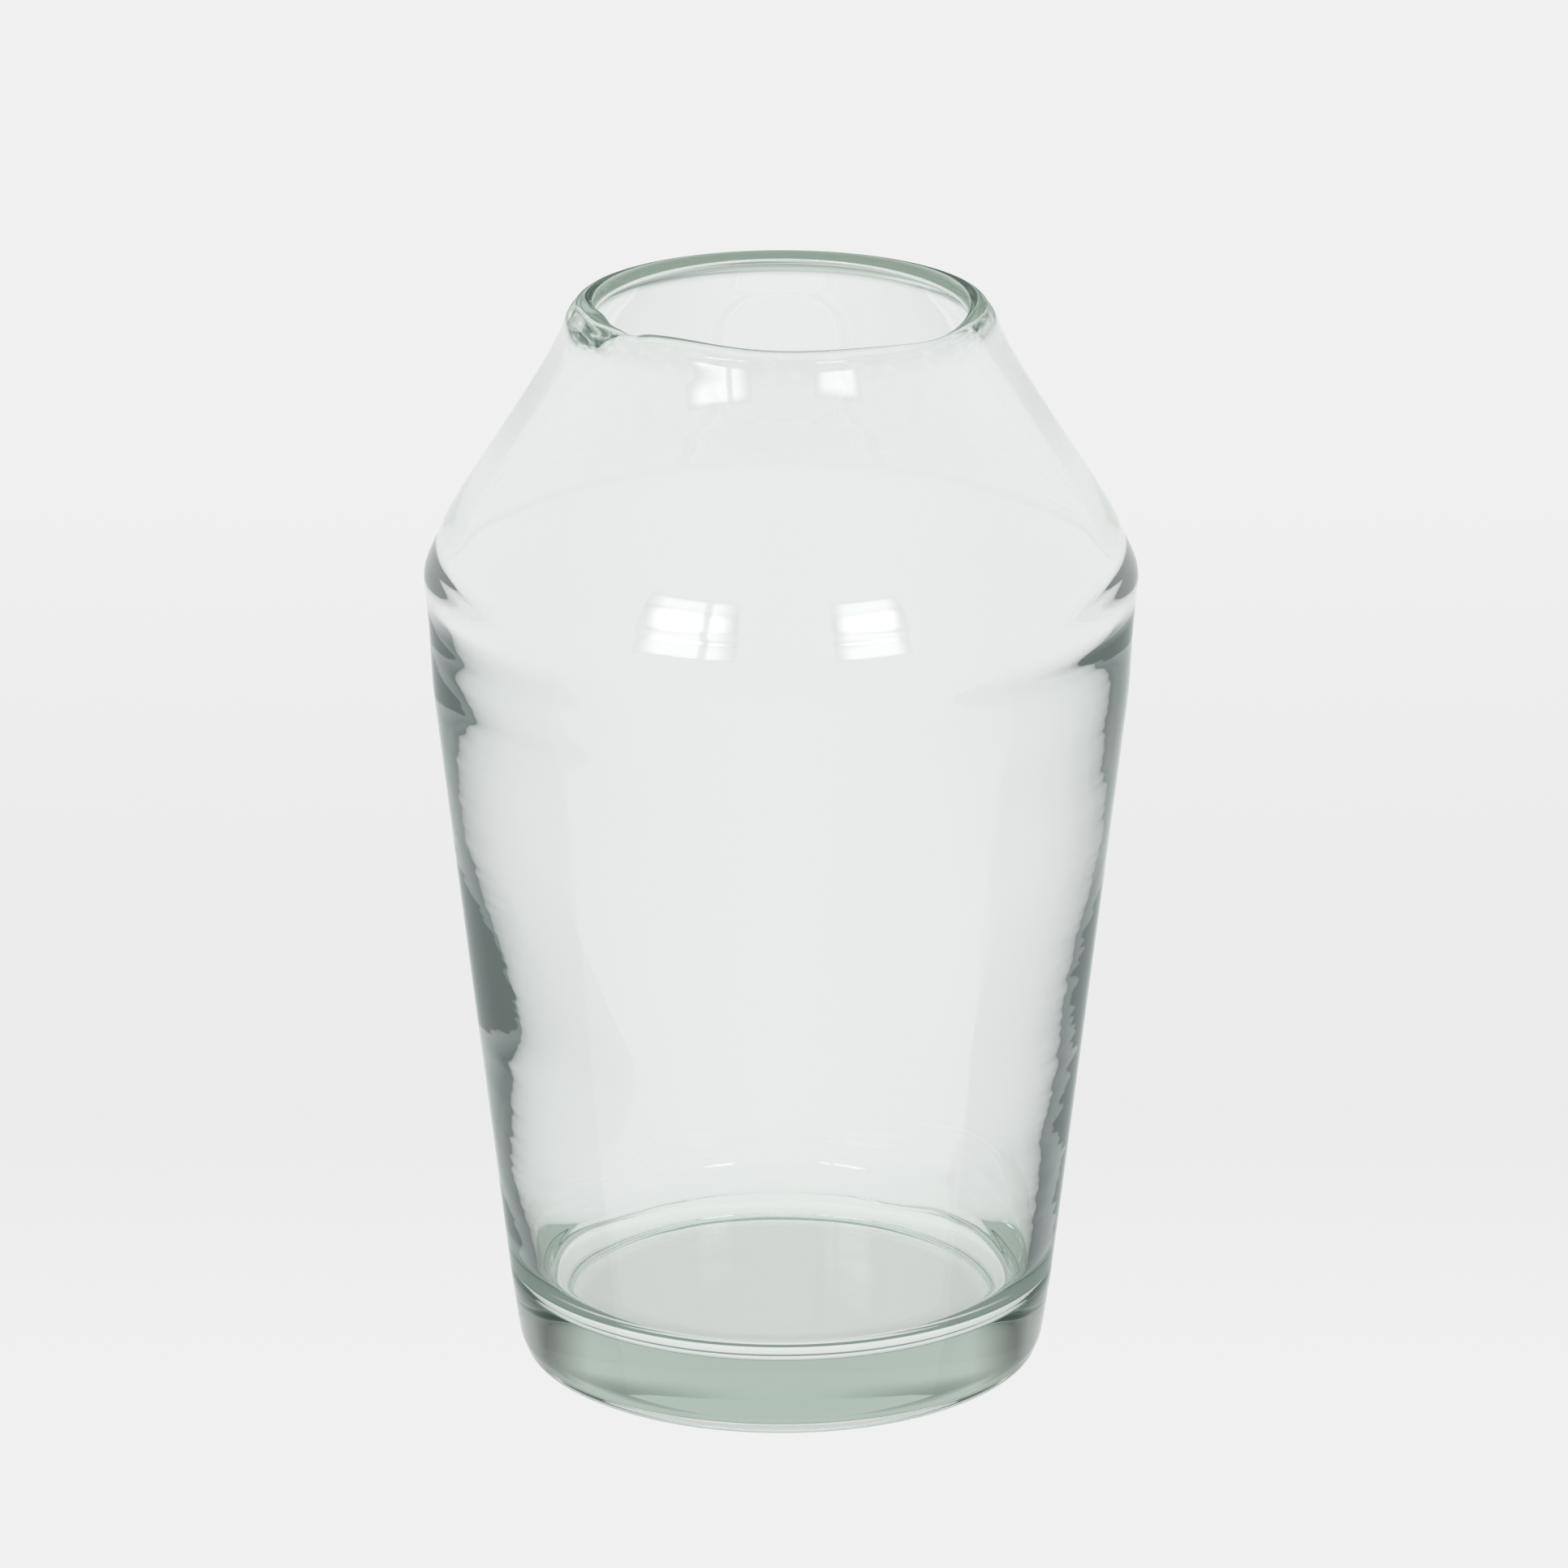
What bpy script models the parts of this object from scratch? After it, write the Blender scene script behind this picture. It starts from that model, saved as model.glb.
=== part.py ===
"""Hand-blown mixing glass: one piece of clear glass with a thick base, a tapered body,
a rounded shoulder, a conical neck and a fire-polished rim with a small pressed pour lip.

Frame: metres, +Z up. The origin is the middle of the underside, on the glass's axis.
The pour lip points along -X.
"""

import math

import bmesh
import bpy

MM = 0.001

# Overall
HEIGHT = 170.2 * MM          # underside to the top of the rim, on average round the mouth
SHOULDER_RADIUS = 55.0 * MM  # the widest place, on the shoulder
SHOULDER_Z = 127.2 * MM

# Foot and underside
FOOT_RADIUS = 40.9 * MM      # outer radius just above the rounded foot edge
FOOT_CORNER = 2.4 * MM       # radius of the rounded foot edge
REST_RING_WIDTH = 4.0 * MM   # flat ring that the glass stands on
RECESS_DEPTH = 1.6 * MM      # how far the flat middle of the underside is set in
RECESS_SLOPE = 0.8 * MM      # width of the slope between the rest ring and the recess
RECESS_STEPS = 4
FOOT_STEPS = 4

# Outer wall of the body, from the foot up to the seam under the shoulder
BASE_TOP_Z = 12.8 * MM
BASE_TOP_RADIUS = 42.75 * MM
BODY_LEVELS = (5.0 * MM, BASE_TOP_Z, 32.0 * MM, 52.0 * MM, 72.0 * MM, 92.0 * MM,
               107.0 * MM, 112.0 * MM, 117.0 * MM)
SEAM_Z = 123.0 * MM          # shallow ring where the mould closed
SEAM_RADIUS = 54.65 * MM
SEAM_DEPTH = 0.12 * MM
SEAM_HALF_WIDTH = 0.9 * MM
SEAM_STEP_OUT = 0.05 * MM    # the wall above the seam stands this much further out
SEAM_LEAN = 0.12             # outward lean of the wall just above the seam, radius per height
BODY_TURN = 16.0 * MM        # length under the seam over which the taper dies out
BODY_TURN_IN = 0.75 * MM     # how far the body falls inside a straight line to the seam
SHOULDER_UNDER_STEPS = 3
SHOULDER_OVER_STEPS = 4

# Cone between shoulder and rim
CONE_FOOT_Z = 131.0 * MM
CONE_FOOT_RADIUS = 53.7 * MM
CONE_TOP_Z = 162.6 * MM
CONE_TOP_RADIUS = 34.75 * MM
CONE_BULGE = 0.35 * MM       # the cone is very slightly full
CONE_SLOPE = (CONE_TOP_RADIUS - CONE_FOOT_RADIUS) / (CONE_TOP_Z - CONE_FOOT_Z)
CONE_STEPS = 5

# Rim
RIM_RADIUS = 30.15 * MM      # radius of the circle through the middle of the rim
RIM_HALF_THICKNESS = 1.8 * MM
RIM_START = math.radians(-8.0)   # the rim's round starts just below level outside
RIM_END = math.radians(205.0)    # and runs further down inside
RIM_STEPS = 9
COLLAR_RADIUS = 33.1 * MM    # the cone steepens a little under the rim
COLLAR_Z = 166.0 * MM

# Inside
FLOOR_Z = 12.0 * MM
HEEL_TOP_Z = 18.5 * MM       # below this the wall thickens towards the floor
HEEL_WIDTH = 3.4 * MM
HEEL_POWER = 2.0
HEEL_LEVELS = (HEEL_TOP_Z, 16.5 * MM, 14.8 * MM)
FLOOR_CORNER_WIDTH = 1.4 * MM    # round where the wall meets the floor
FLOOR_CORNER_HEIGHT = 1.1 * MM
FLOOR_CORNER_START = math.radians(30.0)
FLOOR_CORNER_STEPS = 4
WALL = 3.8 * MM              # wall of the body, measured level
INNER_LEVELS = (107.0 * MM, 92.0 * MM, 72.0 * MM, 52.0 * MM, 34.0 * MM)
CONE_WALL = 3.5 * MM         # wall of the cone, measured level
INNER_CONE_TOP_Z = 163.8 * MM
SHOULDER_DROP = 1.6 * MM     # the inner shoulder sits this much lower than the outer one
INNER_SHOULDER_END = 5.0 * MM    # the inner shoulder has died out this far below the seam
INNER_LEAN = 0.11            # lean of the inner wall there, radius per height
INNER_OVER_STEPS = 3
INNER_UNDER_STEPS = 2

# Pour lip and the hand-made rim
LIP_AZIMUTH = math.radians(180.0)
LIP_HALF_ANGLE = math.radians(14.0)
LIP_OUT = 1.1 * MM
LIP_REACH = 9.0 * MM         # height below the rim over which the lip fades into the cone
SWELL_AZIMUTH = math.radians(170.0)   # the rim is fuller inwards where the lip was pressed
SWELL_HALF_ANGLE = math.radians(13.0)
SWELL_IN = 1.3 * MM
SWELL_RISE = 0.45 * MM
NOTCH_AZIMUTH = math.radians(192.0)   # small dip at the lip's edge
NOTCH_HALF_ANGLE = math.radians(4.5)
NOTCH_DROP = 0.6 * MM
CREST_AZIMUTH = math.radians(208.0)   # the rim stands highest beside the lip
CREST_RISE = 1.0 * MM
SAG_AZIMUTH = math.radians(294.0)     # and sags most a quarter turn further on
SAG_DROP = 1.1 * MM
RIM_WAVE_HALF_ANGLE = math.radians(20.0)

SEGMENTS = 64
MERGE_DISTANCE = 0.001 * MM
SHARP_ANGLE = math.radians(50.0)
GLASS_COLOUR = (0.78, 0.86, 0.82, 1.0)
GLASS_ROUGHNESS = 0.02
GLASS_IOR = 1.52


def smoothstep(t):
    t = min(max(t, 0.0), 1.0)
    return t * t * (3.0 - 2.0 * t)


def arc(centre, radius, start, end, steps):
    """Points (r, z) on an arc in the profile plane, both ends included."""
    points = []
    for i in range(steps + 1):
        angle = start + (end - start) * i / steps
        points.append((centre[0] + radius * math.cos(angle), centre[1] + radius * math.sin(angle)))
    return points


def hermite(p0, p1, slope0, slope1, steps):
    """Points between two profile points whose level slopes dr/dz are given; p0 left out."""
    rise = p1[1] - p0[1]
    points = []
    for i in range(1, steps + 1):
        t = i / steps
        h00 = 2 * t ** 3 - 3 * t ** 2 + 1
        h10 = t ** 3 - 2 * t ** 2 + t
        h01 = -2 * t ** 3 + 3 * t ** 2
        h11 = t ** 3 - t ** 2
        r = h00 * p0[0] + h10 * rise * slope0 + h01 * p1[0] + h11 * rise * slope1
        points.append((r, p0[1] + rise * t))
    return points


def body_radius(z):
    """Outer radius of the tapered body, from the foot up to the seam under the shoulder."""
    if z < BASE_TOP_Z:
        return FOOT_RADIUS + (BASE_TOP_RADIUS - FOOT_RADIUS) * z / BASE_TOP_Z
    taper = (SEAM_RADIUS + BODY_TURN_IN - BASE_TOP_RADIUS) / (SEAM_Z - BASE_TOP_Z)
    straight = BASE_TOP_RADIUS + taper * (z - BASE_TOP_Z)
    return straight - BODY_TURN_IN * smoothstep((z - SEAM_Z + BODY_TURN) / BODY_TURN)


def inner_radius(z):
    """Inner radius of the body: an even wall that thickens into a heel above the floor."""
    heel = max(HEEL_TOP_Z - z, 0.0) / (HEEL_TOP_Z - FLOOR_Z)
    return body_radius(z) - WALL - HEEL_WIDTH * heel ** HEEL_POWER


def cone_radius(z):
    """Outer radius of the cone between the shoulder and the rim."""
    t = (z - CONE_FOOT_Z) / (CONE_TOP_Z - CONE_FOOT_Z)
    return CONE_FOOT_RADIUS + CONE_SLOPE * (z - CONE_FOOT_Z) + CONE_BULGE * 4.0 * t * (1.0 - t)


def underside():
    """Flat recess, its slope, the flat ring the glass stands on and the rounded foot edge."""
    ring_outer = FOOT_RADIUS - FOOT_CORNER
    recess_radius = ring_outer - REST_RING_WIDTH - RECESS_SLOPE
    points = [(0.0, RECESS_DEPTH), (recess_radius * 0.5, RECESS_DEPTH)]
    for i in range(RECESS_STEPS + 1):
        t = i / RECESS_STEPS
        points.append((recess_radius + RECESS_SLOPE * t, RECESS_DEPTH * (1.0 - smoothstep(t))))
    points += arc((ring_outer, FOOT_CORNER), FOOT_CORNER, -math.pi / 2, 0.0, FOOT_STEPS)
    return points


def outer_wall():
    """Body, seam, shoulder and cone, from the foot to just under the rim."""
    points = [(body_radius(z), z) for z in BODY_LEVELS]
    seam_foot = SEAM_Z - SEAM_HALF_WIDTH
    points.append((body_radius(seam_foot), seam_foot))
    points.append((SEAM_RADIUS - SEAM_DEPTH, SEAM_Z))
    above_seam = (SEAM_RADIUS + SEAM_STEP_OUT, SEAM_Z + SEAM_HALF_WIDTH)
    widest = (SHOULDER_RADIUS, SHOULDER_Z)
    cone_foot = (CONE_FOOT_RADIUS, CONE_FOOT_Z)
    points.append(above_seam)
    points += hermite(above_seam, widest, SEAM_LEAN, 0.0, SHOULDER_UNDER_STEPS)
    points += hermite(widest, cone_foot, 0.0, CONE_SLOPE, SHOULDER_OVER_STEPS)
    for i in range(1, CONE_STEPS + 1):
        z = CONE_FOOT_Z + (CONE_TOP_Z - CONE_FOOT_Z) * i / CONE_STEPS
        points.append((cone_radius(z), z))
    points.append((COLLAR_RADIUS, COLLAR_Z))
    return points


def rim():
    """Rounded, fire-polished rim, from outside to inside."""
    centre = (RIM_RADIUS, HEIGHT - RIM_HALF_THICKNESS)
    return arc(centre, RIM_HALF_THICKNESS, RIM_START, RIM_END, RIM_STEPS)


def inner_wall():
    """Cone, shoulder, body and heel seen from inside, from under the rim to the floor's corner."""
    points = []
    cone_end_z = CONE_FOOT_Z - SHOULDER_DROP
    for i in range(CONE_STEPS + 1):
        z = INNER_CONE_TOP_Z + (cone_end_z - INNER_CONE_TOP_Z) * i / CONE_STEPS
        points.append((cone_radius(z) - CONE_WALL, z))
    shoulder = (SHOULDER_RADIUS - WALL, SHOULDER_Z - SHOULDER_DROP)
    under_z = SEAM_Z - INNER_SHOULDER_END
    under = (inner_radius(under_z), under_z)
    points += hermite(points[-1], shoulder, CONE_SLOPE, 0.0, INNER_OVER_STEPS)
    points += hermite(shoulder, under, 0.0, INNER_LEAN, INNER_UNDER_STEPS)
    points += [(inner_radius(z), z) for z in INNER_LEVELS + HEEL_LEVELS]
    return points


def floor():
    """Corner where the wall meets the floor, then the flat inner floor, ending on the axis."""
    corner_z = FLOOR_Z + FLOOR_CORNER_HEIGHT
    corner_radius = inner_radius(corner_z)
    start = math.sin(FLOOR_CORNER_START)
    points = []
    for i in range(FLOOR_CORNER_STEPS + 1):
        angle = FLOOR_CORNER_START + (math.pi / 2 - FLOOR_CORNER_START) * i / FLOOR_CORNER_STEPS
        points.append((corner_radius - FLOOR_CORNER_WIDTH * (1.0 - math.cos(angle)),
                       corner_z - FLOOR_CORNER_HEIGHT * (math.sin(angle) - start) / (1.0 - start)))
    flat_radius = points[-1][0]
    points.append((flat_radius * 0.5, FLOOR_Z))
    points.append((0.0, FLOOR_Z))
    return points


def profile():
    """Half section of the vessel, from the underside's middle to the floor's middle."""
    return underside() + outer_wall() + rim() + inner_wall() + floor()


def angle_from(azimuth, target):
    """Signed angle between two azimuths, from -pi to pi."""
    return math.atan2(math.sin(azimuth - target), math.cos(azimuth - target))


def bump(azimuth, target, half_angle):
    return math.exp(-(angle_from(azimuth, target) / half_angle) ** 2)


def shape_rim(point):
    """Moves a point near the rim: the lip is pressed out, and the rim swells and waves by hand."""
    near_rim = smoothstep((point.z - (HEIGHT - LIP_REACH)) / LIP_REACH)
    if near_rim == 0.0:
        return
    azimuth = math.atan2(point.y, point.x)
    inside = math.hypot(point.x, point.y) < RIM_RADIUS
    swell = bump(azimuth, SWELL_AZIMUTH, SWELL_HALF_ANGLE)
    out = LIP_OUT * bump(azimuth, LIP_AZIMUTH, LIP_HALF_ANGLE) * near_rim ** 2
    if inside:
        out -= SWELL_IN * swell * near_rim ** 3
    point.x += out * math.cos(azimuth)
    point.y += out * math.sin(azimuth)
    crest = bump(azimuth, CREST_AZIMUTH, RIM_WAVE_HALF_ANGLE)
    sag = bump(azimuth, SAG_AZIMUTH, RIM_WAVE_HALF_ANGLE)
    notch = bump(azimuth, NOTCH_AZIMUTH, NOTCH_HALF_ANGLE)
    point.z += near_rim * (CREST_RISE * crest - SAG_DROP * sag + SWELL_RISE * swell - NOTCH_DROP * notch)


def glass_material():
    material = bpy.data.materials.new("clear_glass")
    material.use_nodes = True
    shader = material.node_tree.nodes["Principled BSDF"]
    shader.inputs["Base Color"].default_value = GLASS_COLOUR
    shader.inputs["Metallic"].default_value = 0.0
    shader.inputs["Roughness"].default_value = GLASS_ROUGHNESS
    shader.inputs["IOR"].default_value = GLASS_IOR
    shader.inputs["Transmission Weight"].default_value = 1.0
    return material


def glass_body():
    """The whole vessel, turned from its profile and then shaped at the rim."""
    mesh = bpy.data.meshes.new("glass_body")
    turned = bmesh.new()
    ring = [turned.verts.new((r, 0.0, z)) for r, z in profile()]
    edges = [turned.edges.new(pair) for pair in zip(ring, ring[1:])]
    bmesh.ops.spin(
        turned,
        geom=ring + edges,
        axis=(0.0, 0.0, 1.0),
        cent=(0.0, 0.0, 0.0),
        angle=math.tau,
        steps=SEGMENTS,
        use_merge=True,
    )
    bmesh.ops.remove_doubles(turned, verts=turned.verts, dist=MERGE_DISTANCE)
    for vertex in turned.verts:
        shape_rim(vertex.co)
    bmesh.ops.recalc_face_normals(turned, faces=turned.faces)
    turned.to_mesh(mesh)
    turned.free()
    body = bpy.data.objects.new("glass_body", mesh)
    bpy.context.scene.collection.objects.link(body)
    mesh.materials.append(glass_material())
    mesh.shade_smooth()
    mesh.set_sharp_from_angle(angle=SHARP_ANGLE)
    return body


def main():
    for existing in list(bpy.data.objects):
        bpy.data.objects.remove(existing, do_unlink=True)
    glass_body()


main()
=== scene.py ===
"""Looks of the hand-blown mixing glass: fine glass mesh, glass material, pale sweep and soft light."""

import math

import bpy
import numpy as np
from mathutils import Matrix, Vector, noise


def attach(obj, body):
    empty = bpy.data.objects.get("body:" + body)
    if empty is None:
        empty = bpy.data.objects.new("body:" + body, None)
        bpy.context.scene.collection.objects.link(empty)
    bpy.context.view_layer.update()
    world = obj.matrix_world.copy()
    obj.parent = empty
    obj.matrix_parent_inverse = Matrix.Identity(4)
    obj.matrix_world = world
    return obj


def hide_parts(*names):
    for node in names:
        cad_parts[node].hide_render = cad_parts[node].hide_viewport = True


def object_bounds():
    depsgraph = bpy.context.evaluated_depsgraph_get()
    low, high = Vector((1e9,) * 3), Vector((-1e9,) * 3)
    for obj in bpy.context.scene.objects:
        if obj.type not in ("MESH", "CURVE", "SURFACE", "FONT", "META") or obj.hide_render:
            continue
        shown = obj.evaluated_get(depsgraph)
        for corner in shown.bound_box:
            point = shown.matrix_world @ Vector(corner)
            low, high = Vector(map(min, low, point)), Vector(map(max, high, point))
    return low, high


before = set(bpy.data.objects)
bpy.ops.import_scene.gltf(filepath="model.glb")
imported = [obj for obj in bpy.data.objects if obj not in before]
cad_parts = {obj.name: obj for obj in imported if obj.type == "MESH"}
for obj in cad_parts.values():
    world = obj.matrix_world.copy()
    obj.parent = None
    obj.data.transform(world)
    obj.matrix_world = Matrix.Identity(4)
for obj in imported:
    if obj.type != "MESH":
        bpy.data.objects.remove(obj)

cad_low, cad_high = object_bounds()

MM = 0.001

# --- outline of the glass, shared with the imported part, in metres ------------------------

HEIGHT = 170.2 * MM
INSIDE_CAD = 0.02 * MM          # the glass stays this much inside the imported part
SHOULDER_RADIUS = min(cad_high.x, -cad_low.x) - INSIDE_CAD
SHOULDER_Z = 127.2 * MM
FOOT_RADIUS = 40.9 * MM
FOOT_CORNER = 2.4 * MM
FOOT_CORNER_END = -4.0          # degrees at which the foot's round meets the body
FOOT_BLEND = 0.8 * MM
REST_RING_WIDTH = 4.0 * MM
RECESS_DEPTH = 1.6 * MM
RECESS_SLOPE = 0.8 * MM         # width of the slope between the rest ring and the recess
BASE_TOP_Z = 12.8 * MM
BASE_TOP_RADIUS = 42.75 * MM
SEAM_Z = 123.0 * MM
SEAM_RADIUS = 54.65 * MM
SEAM_STEP_OUT = 0.05 * MM
SEAM_HALF_WIDTH = 0.7 * MM
SEAM_LEAN = 0.12                # outward slope just above the seam
BODY_TURN = 16.0 * MM           # height below the seam over which the body turns upright
BODY_TURN_IN = 0.75 * MM
CONE_FOOT_Z = 131.0 * MM
CONE_FOOT_RADIUS = 53.7 * MM
CONE_TOP_Z = 168.4 * MM
CONE_BLEND = 1.0 * MM           # height above the cone's foot left to the shoulder's curve
RIM_RADIUS = 30.15 * MM
RIM_HALF_THICKNESS = 1.8 * MM
RIM_START = 16.0                # degrees of the rim's round, from outside over the top to inside
RIM_TOP = 90.0
RIM_TOP_INSIDE = 94.0
RIM_END = 222.0

# Lean of the cone from upright, in degrees, by height in mm. Its foot is faintly ringed, and it
# is steepest half way up.
CONE_LEAN = [(131.0, 24.0), (131.9, 27.8), (132.8, 20.6), (133.8, 27.0), (134.8, 22.4), (135.8, 27.8),
             (136.8, 29.5), (138.0, 31.0), (140.0, 32.6), (145.0, 33.0), (152.0, 32.6), (158.0, 31.0),
             (162.0, 27.5), (164.0, 24.5), (166.0, 23.0), (169.0, 23.0)]
CONE_SLOPE = -math.tan(math.radians(CONE_LEAN[0][1]))

# Inside
FLOOR_Z = 12.0 * MM
HEEL_TOP_Z = 18.5 * MM          # below this the wall thickens towards the floor
HEEL_WIDTH = 3.4 * MM
HEEL_POWER = 2.0
FLOOR_CORNER_WIDTH = 1.4 * MM   # round where the wall meets the floor
FLOOR_CORNER_HEIGHT = 1.1 * MM
FLOOR_CORNER_START = math.radians(30.0)
FLOOR_START = 0.95              # share of the floor's radius at which its first ring lies
WALL = 3.8 * MM
CONE_WALL = 3.5 * MM
SHOULDER_DROP = 1.6 * MM        # the shoulder is this much lower inside than outside
INNER_CONE_TOP_Z = CONE_TOP_Z - 4.5 * MM
INNER_FOOT_OUT = 0.5 * MM
INNER_FOOT_DROP = 0.6 * SHOULDER_DROP
INNER_SHOULDER_END = 5.0 * MM
INNER_LEAN = 0.11

# --- hand-made unevenness ----------------------------------------------------------------

# Glass thickness in mm as it appears at the two sides of the body, by height in mm, read
# from the width of the photo's dark side bands and rounded. A wall that
# thins upwards looks thicker than it is, by its change over LEAD of height.
LEFT_AZIMUTH = math.radians(150.0)
LEFT_WALL = [(8.0, 3.8), (14.0, 3.0), (20.0, 2.2), (27.0, 2.0), (34.0, 2.6), (41.0, 3.7), (47.0, 4.4),
             (52.0, 6.2), (56.0, 6.4), (61.0, 5.7), (68.0, 4.7), (75.0, 3.2), (81.0, 2.1), (88.0, 1.4),
             (95.0, 1.8), (101.0, 3.7), (104.0, 6.3), (106.0, 5.2), (109.0, 3.9), (114.0, 3.6),
             (119.0, 2.2), (123.0, 2.0)]
RIGHT_WALL = [(15.0, 3.0), (20.0, 3.9), (27.0, 3.8), (34.0, 4.4), (41.0, 3.8), (47.0, 3.4), (54.0, 3.8),
              (61.0, 3.4), (68.0, 2.9), (75.0, 1.8), (81.0, 0.7), (88.0, 0.9), (95.0, 2.5), (101.0, 2.8),
              (108.0, 2.7), (112.0, 4.2), (115.0, 6.4), (118.0, 4.4), (120.0, 3.3), (123.0, 2.6)]
LEAD = 23.0 * MM
SEEN_LOWER = 7.0 * MM           # and it is seen this much below its true height

# A side's own thickness begins at this cosine from the side; low down it keeps closer to the side
SIDE_BEGINS = 0.3
SIDE_BLEND = 0.38
LOW_SIDE_BEGINS = 0.35
LOW_SIDE_Z = 48.0 * MM
LOW_SIDE_BLEND = 24.0 * MM
RELIEF_START_Z = FLOOR_Z + 5.0 * MM
RELIEF_RISE = 16.0 * MM
RELIEF_END_Z = HEIGHT - 5.0 * MM
RELIEF_FALL = 10.0 * MM
SIDES_END_Z = SEAM_Z + 1.0 * MM
SIDES_FALL = 4.0 * MM

# Turning marks inside: depth, frequency round the glass, height and a place in the noise
TURNING_MARKS = (0.026 * MM, 2.2, 3.2 * MM, 23.3)
FINE_MARKS = (0.013 * MM, 4.0, 1.15 * MM, 41.9)
FAINT_MARKS = 0.10              # their strength away from the two sides
MARKS_BEGIN = 0.80
MARKS_BLEND = 0.15
MARKS_ABOVE_SEAM = 0.25
MARKS_FALL = 3.0 * MM

# The outer skin is only slightly uneven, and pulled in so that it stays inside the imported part
SKIN_WAVES = (0.03 * MM, 1.3, 30.0 * MM, 7.7)
SKIN_IN = 0.021 * MM
SKIN_START_Z = 4.0 * MM
SKIN_RISE = 8.0 * MM
AXIS_CALM = 5.0 * MM            # nothing is uneven this close to the axis

LIP_AZIMUTH = math.radians(180.0)
LIP_HALF_ANGLE = math.radians(14.0)
LIP_OUT = 1.1 * MM
LIP_REACH = 9.0 * MM
LIP_SWELL = 1.3 * MM            # the bead is this much fuller inwards where the lip was pressed
SWELL_AZIMUTH = math.radians(170.0)
SWELL_HALF_ANGLE = math.radians(13.0)
SWELL_RISE = 0.45 * MM
NOTCH_AZIMUTH = math.radians(192.0)   # small dip at the lip's edge
NOTCH_HALF_ANGLE = math.radians(4.5)
NOTCH_DROP = 0.6 * MM
CREST_AZIMUTH = math.radians(208.0)
CREST_RISE = 0.95 * MM
SAG_AZIMUTH = math.radians(294.0)
SAG_DROP = 1.1 * MM
RIM_WAVE_HALF_ANGLE = math.radians(20.0)

# --- mesh --------------------------------------------------------------------------------

SEGMENTS = 160
FINE_STEP = 0.1 * MM
POLISH = 0.4 * MM               # fire-polishing rounds every edge over about this length
POLISH_REACH = 4                # in such lengths
FLAT = 0.01 * MM

# Points given to each stretch of the outline before it is resampled
ARC_STEPS = 24
HERMITE_STEPS = 16
RECESS_STEPS = 16
BODY_STEPS = 90
INNER_CONE_STRIDE = 20
INNER_BODY_STEPS = 120
FLOOR_STEPS = 12

# Distance between rings up to each height: fine where the surface turns or is striated
RECESS_SPACING = 2.0 * MM
RIM_SPACING_OUTSIDE = 0.4 * MM
RIM_SPACING_INSIDE = 0.3 * MM
OUTSIDE_SPACING = [(FOOT_CORNER + 1.0 * MM, 0.4 * MM), (SEAM_Z - 3.0 * MM, 1.0 * MM),
                   (CONE_FOOT_Z + 3.0 * MM, 0.4 * MM), (CONE_TOP_Z - 5.0 * MM, 1.0 * MM)]
INSIDE_SPACING = [(FLOOR_Z + FLAT, 1.6 * MM), (FLOOR_Z + 3.0 * MM, 0.2 * MM),
                  (SHOULDER_Z, 0.5 * MM), (CONE_TOP_Z - 4.0 * MM, 0.8 * MM)]

# --- glass -------------------------------------------------------------------------------

BLACK = (0.0, 0.0, 0.0, 1.0)
GLASS_COLOUR = (0.995, 1.0, 0.998, 1.0)
GLASS_IOR = 1.52
TINT_COLOUR = (0.60, 0.70, 0.63, 1.0)
TINT_DENSITY = 20.0
RAMP_SCALE = 5.0                # heights in metres are scaled by this to fit a colour ramp

# Light that is turned back inside the glass more than this often is taken to stay in; there the glass
# shows instead a painted glow of even tone: one by height at the front, and another in the wall behind the
# hollow
MOST_TURNS = 10.0
MOST_FRONT_TURNS = 4.0
FRONT_DEPTH = 1.5
CROSSED_DEPTH = 2.5
BASE_TONE = (0.34, 0.40, 0.37, 1.0)
BODY_TONE = (0.165, 0.195, 0.19, 1.0)
SHOULDER_TONE = (0.33, 0.38, 0.39, 1.0)
CONE_TONE = (0.70, 0.74, 0.715, 1.0)
RIM_TONE = (0.34, 0.41, 0.36, 1.0)
# Painted glow of the glass: its colours by height at the front, and below, its colour behind the hollow
PAINTED_GLOW_BY_HEIGHT = [(BASE_TOP_Z, BASE_TONE), (BASE_TOP_Z + 3.0 * MM, BODY_TONE),
                 (SEAM_Z + 1.0 * MM, BODY_TONE), (SHOULDER_Z, SHOULDER_TONE),
                 (CONE_FOOT_Z + 2.0 * MM, CONE_TONE), (143.0 * MM, CONE_TONE), (153.0 * MM, RIM_TONE)]
PAINTED_GLOW_BEHIND = (0.74, 0.78, 0.75, 1.0)

# --- studio ------------------------------------------------------------------------------

VIEW_AZIMUTH = math.radians(-30.0)
VIEW_ELEVATION = math.radians(18.6)
VIEW_DISTANCE = 1.285
VIEW_CENTRE = Vector((0.0, 0.0, 82.1 * MM))
AIM_RISE = 10.5 * MM
AIM_RIGHT = 0.44 * MM
LENS = 189.6
SENSOR = 36.0
CLIP_NEAR, CLIP_FAR = 0.05, 50.0

BACKDROP = (0.865, 0.865, 0.865, 1.0)
SOFT_LIGHT = (1.05, 1.05, 1.05, 1.0)
DOME_RADIUS = 7.0
DOME_COLUMNS = 96
DOME_ELEVATIONS = np.radians(np.linspace(-1.0, 90.0, 40))[:-1]

SWEEP_HALF_SIZE = 8.0
SWEEP_DROP = 0.05 * MM          # keeps the sweep just clear of the foot
SWEEP_ROUGHNESS = 0.9
# Paleness of the table by metres behind (or, negative, before) the middle of the glass, with painted shade
# darkest from 0.1 to 0.25 m behind the glass
PAPER_AND_PAINTED_SHADE = [(-0.4, 0.83), (-0.1, 0.84), (0.0, 0.825), (0.1, 0.795), (0.25, 0.80), (0.38, 0.815), (0.5, 0.83)]
PAPER_MIDDLE = 0.5
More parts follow.
